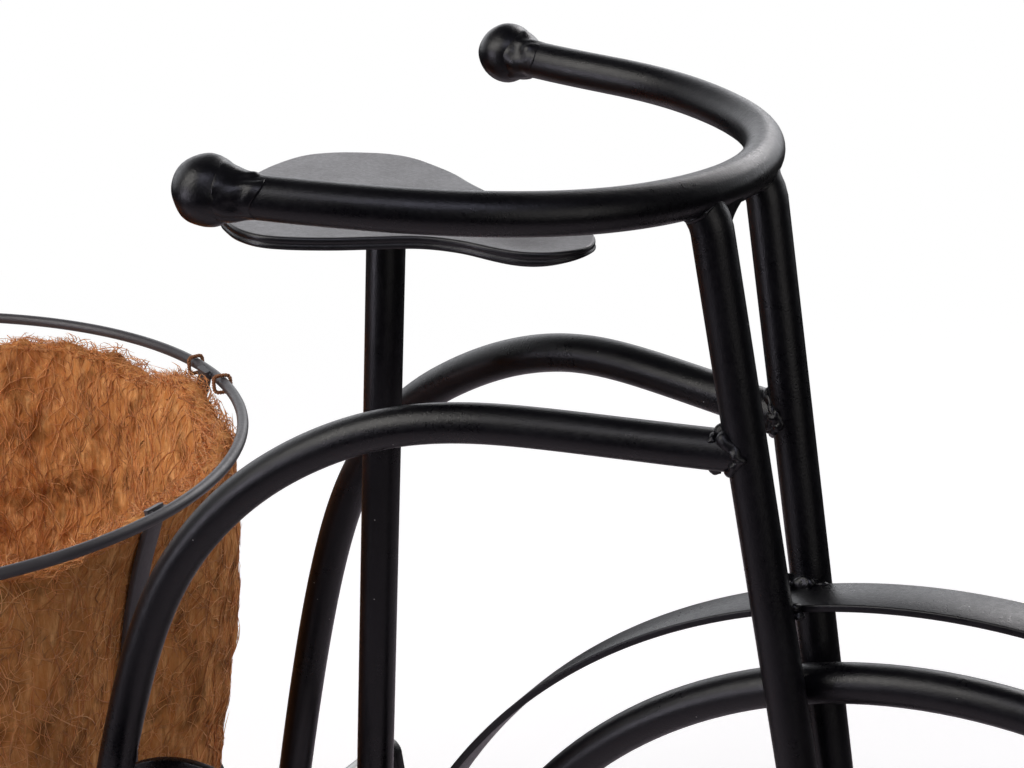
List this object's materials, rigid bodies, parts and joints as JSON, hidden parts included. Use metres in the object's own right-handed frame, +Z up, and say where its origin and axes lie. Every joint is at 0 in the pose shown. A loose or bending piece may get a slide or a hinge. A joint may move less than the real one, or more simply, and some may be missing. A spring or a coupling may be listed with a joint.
{
  "type": "bicycle planter",
  "caption": "Tricycle-shaped plant stand of welded tube with a coir-lined basket behind the saddle; its wheels and crank turn.",
  "frame": {"origin": "centre of the outer box on the ground", "axes": "+X towards the front wheel, +Y towards the left side, +Z up"},
  "size_m": [0.7968, 0.347, 0.5381],
  "materials": {
    "black_paint": "satin black paint",
    "saddle_paint": "satin dark grey paint",
    "basket_paint": "satin dark paint",
    "zinc": "zinc plated",
    "coir": "matted coconut fibre",
    "twine": "twisted fibre"
  },
  "bodies": {
    "frame": {"handlebar": "black_paint", "grip_ball_right": "black_paint", "grip_ball_left": "black_paint", "fork_leg_right": "black_paint", "fork_leg_left": "black_paint", "front_mudguard": "black_paint", "frame_tube_right": "black_paint", "frame_tube_left": "black_paint", "seat_post": "black_paint", "saddle": "saddle_paint", "crank_shell": "black_paint", "lower_bar_front": "black_paint", "lower_bar_rear": "black_paint", "cross_tube": "black_paint", "front_axle_bolt": "zinc", "front_axle_nut": "zinc", "front_washer_right": "zinc", "front_washer_left": "zinc", "rear_axle": "black_paint", "rear_collar_right": "black_paint", "rear_collar_left": "black_paint", "rear_cap_nut_right": "zinc", "rear_cap_nut_left": "zinc", "basket_top_ring": "basket_paint", "basket_base_ring": "basket_paint", "basket_floor_strip_1": "basket_paint", "basket_floor_strip_2": "basket_paint", "coir_liner": "coir", "basket_strip_1": "basket_paint", "basket_strip_2": "basket_paint", "basket_strip_3": "basket_paint", "basket_strip_4": "basket_paint", "basket_strip_5": "basket_paint", "basket_strip_6": "basket_paint", "liner_tie_1": "twine", "liner_tie_2": "twine", "liner_tie_3": "twine", "liner_tie_4": "twine", "liner_tie_5": "twine", "liner_tie_6": "twine", "liner_tie_7": "twine", "liner_tie_8": "twine"},
    "front_wheel": {"front_wheel_rim": "black_paint", "front_wheel_spokes": "black_paint"},
    "rear_wheel_right": {"rear_rim_right": "black_paint", "rear_spokes_right": "black_paint"},
    "rear_wheel_left": {"rear_rim_left": "black_paint", "rear_spokes_left": "black_paint"},
    "crank": {"crank_axle": "zinc", "chain_ring": "black_paint", "chain_ring_spider": "black_paint", "crank_arm_right": "black_paint", "crank_arm_left": "black_paint"},
    "pedal_right": {"pedal_right": "black_paint"},
    "pedal_left": {"pedal_left": "black_paint"}
  },
  "joints": [
    {"name": "front_wheel_spin", "type": "hinge", "parent": "frame", "child": "front_wheel", "pos_m": [0.20747, 0, 0.1909], "axis": [0, 1, 0], "continuous": true},
    {"name": "rear_wheel_right_spin", "type": "hinge", "parent": "frame", "child": "rear_wheel_right", "pos_m": [-0.28442, -0.145, 0.113], "axis": [0, 1, 0], "continuous": true},
    {"name": "rear_wheel_left_spin", "type": "hinge", "parent": "frame", "child": "rear_wheel_left", "pos_m": [-0.28442, 0.145, 0.113], "axis": [0, 1, 0], "continuous": true},
    {"name": "crank_spin", "type": "hinge", "parent": "frame", "child": "crank", "pos_m": [-0.05142, 0, 0.2514], "axis": [0, 1, 0], "continuous": true},
    {"name": "pedal_right_spin", "type": "hinge", "parent": "crank", "child": "pedal_right", "pos_m": [-0.06132, -0.075, 0.30753], "axis": [0, 1, 0], "continuous": true},
    {"name": "pedal_left_spin", "type": "hinge", "parent": "crank", "child": "pedal_left", "pos_m": [-0.04153, 0.075, 0.19527], "axis": [0, 1, 0], "continuous": true}
  ]
}
